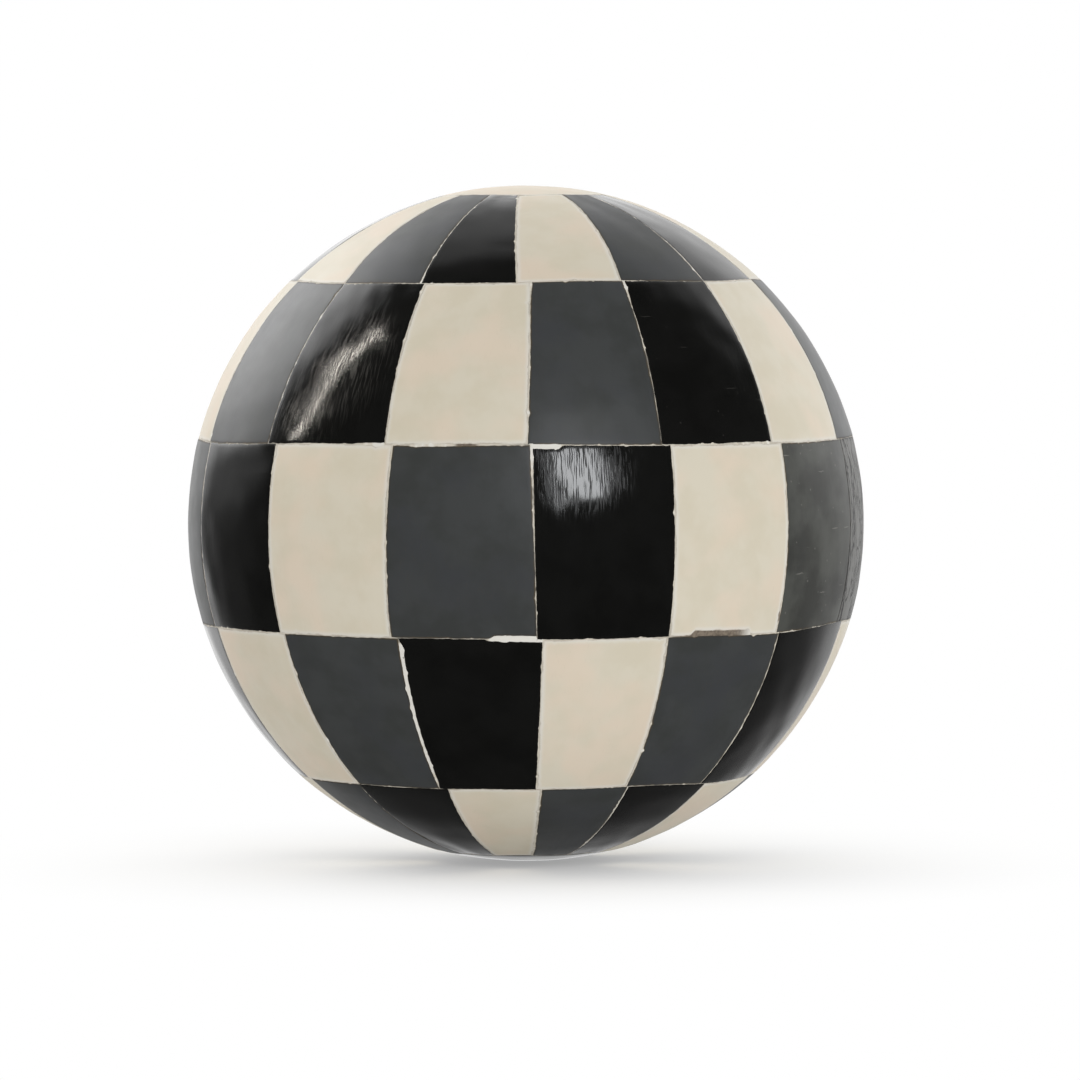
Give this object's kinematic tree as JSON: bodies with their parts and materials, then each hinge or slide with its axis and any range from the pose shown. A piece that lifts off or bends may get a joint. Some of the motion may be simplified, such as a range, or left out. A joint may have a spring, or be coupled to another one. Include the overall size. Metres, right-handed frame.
{
  "type": "decorative ball",
  "caption": "Decorative ball clad in a check of cream, grey and black polished bone tiles laid in rings between a cap at each pole, with pale filled joints.",
  "frame": {"origin": "centre of the ball", "axes": "+Z runs from the bottom cap to the top cap; -Y faces the viewer; a ring is counted towards +X from the front"},
  "size_m": [0.1, 0.1, 0.1],
  "materials": {
    "bone_cream": "satin",
    "bone_grey": "satin",
    "bone_black": "gloss",
    "filler": "satin",
    "glue": "matte",
    "core_wood": "matte"
  },
  "bodies": {
    "root": {"wooden_core": "core_wood", "glue_bed": "glue", "joint_filler": "filler", "top_cap": "bone_cream", "bottom_cap": "bone_black", "crown_cream_tiles": "bone_cream", "crown_grey_tiles": "bone_grey", "crown_black_tiles": "bone_black", "foot_cream_tiles": "bone_cream", "foot_grey_tiles": "bone_grey", "foot_black_tiles": "bone_black", "upper_tile_01": "bone_grey", "upper_tile_02": "bone_black", "upper_tile_03": "bone_cream", "upper_tile_04": "bone_grey", "upper_tile_05": "bone_black", "upper_tile_06": "bone_cream", "upper_tile_07": "bone_grey", "upper_tile_08": "bone_black", "upper_tile_09": "bone_cream", "upper_tile_10": "bone_grey", "upper_tile_11": "bone_black", "upper_tile_12": "bone_cream", "upper_tile_13": "bone_grey", "upper_tile_14": "bone_black", "upper_tile_15": "bone_cream", "equator_tile_01": "bone_black", "equator_tile_02": "bone_cream", "equator_tile_03": "bone_grey", "equator_tile_04": "bone_black", "equator_tile_05": "bone_cream", "equator_tile_06": "bone_grey", "equator_tile_07": "bone_black", "equator_tile_08": "bone_cream", "equator_tile_09": "bone_grey", "equator_tile_10": "bone_black", "equator_tile_11": "bone_cream", "equator_tile_12": "bone_grey", "equator_tile_13": "bone_black", "equator_tile_14": "bone_cream", "equator_tile_15": "bone_grey", "lower_tile_01": "bone_cream", "lower_tile_02": "bone_grey", "lower_tile_03": "bone_black", "lower_tile_04": "bone_cream", "lower_tile_05": "bone_grey", "lower_tile_06": "bone_black", "lower_tile_07": "bone_cream", "lower_tile_08": "bone_grey", "lower_tile_09": "bone_black", "lower_tile_10": "bone_cream", "lower_tile_11": "bone_grey", "lower_tile_12": "bone_black", "lower_tile_13": "bone_cream", "lower_tile_14": "bone_grey", "lower_tile_15": "bone_black"}
  },
  "joints": []
}
